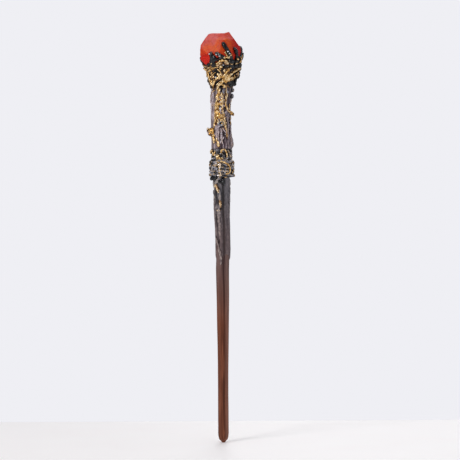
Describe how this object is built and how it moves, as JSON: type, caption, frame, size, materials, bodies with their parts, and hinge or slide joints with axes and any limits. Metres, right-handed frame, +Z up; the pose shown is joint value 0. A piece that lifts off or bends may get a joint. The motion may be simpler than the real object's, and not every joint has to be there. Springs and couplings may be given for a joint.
{
  "type": "magic wand",
  "caption": "Wooden magic wand with a faceted tapered stick, a bark-like sculpted grip and a twig crown whose claws clasp a rough-faceted red crystal.",
  "frame": {"origin": "on the stick's axis, at the blunt end of its point, which is the wand's lowest point", "axes": "+Z up the wand's axis from the point to the crystal, -Y towards the front of the wand"},
  "size_m": [0.0386, 0.0377, 0.35],
  "materials": {
    "hardwood": "stained red-brown, fading to black under the clay, satin",
    "dark_clay": "cured clay painted grey-black, satin",
    "bark_clay": "cured clay painted plum grey, satin",
    "gold_clay": "cured clay painted black and dry-brushed with metallic gold",
    "glossy_black_clay": "cured clay painted black with a gloss varnish",
    "red_crystal": "rough-faceted dyed stone with a waxy satin surface",
    "adhesive": "hardened dark adhesive"
  },
  "bodies": {
    "root": {"collar_arch": "gold_clay", "collar_back_strand": "gold_clay", "collar_bead": "gold_clay", "collar_coil_1": "dark_clay", "collar_coil_2": "dark_clay", "collar_coil_3": "dark_clay", "collar_coil_4": "dark_clay", "collar_coil_5": "dark_clay", "collar_core": "dark_clay", "collar_curl": "gold_clay", "collar_lip": "gold_clay", "crown_cup": "bark_clay", "crown_twig_1": "gold_clay", "crown_twig_10": "gold_clay", "crown_twig_2": "gold_clay", "crown_twig_3": "gold_clay", "crown_twig_4": "gold_clay", "crown_twig_5": "gold_clay", "crown_twig_6": "gold_clay", "crown_twig_7": "gold_clay", "crown_twig_8": "gold_clay", "crown_twig_9": "gold_clay", "crystal": "red_crystal", "crystal_seat": "adhesive", "grip_bulge": "bark_clay", "grip_knot": "gold_clay", "grip_sleeve": "bark_clay", "hook_bead": "gold_clay", "knot_hole_rim": "dark_clay", "neck_arch_lower": "gold_clay", "neck_arch_upper": "gold_clay", "nub_lower": "dark_clay", "nub_upper": "dark_clay", "prong_1": "glossy_black_clay", "prong_10": "glossy_black_clay", "prong_2": "glossy_black_clay", "prong_3": "glossy_black_clay", "prong_4": "glossy_black_clay", "prong_5": "glossy_black_clay", "prong_6": "glossy_black_clay", "prong_7": "glossy_black_clay", "prong_8": "glossy_black_clay", "prong_9": "glossy_black_clay", "root_back": "dark_clay", "root_drop": "dark_clay", "root_front": "dark_clay", "root_left": "dark_clay", "root_low_front": "dark_clay", "root_low_left": "dark_clay", "root_right": "dark_clay", "shaft": "hardwood", "shaft_skin": "dark_clay", "vine_back_left": "gold_clay", "vine_back_right": "gold_clay", "vine_far_left": "gold_clay", "vine_far_right": "gold_clay", "vine_front": "gold_clay", "vine_left": "gold_clay", "vine_right": "gold_clay"}
  },
  "joints": []
}
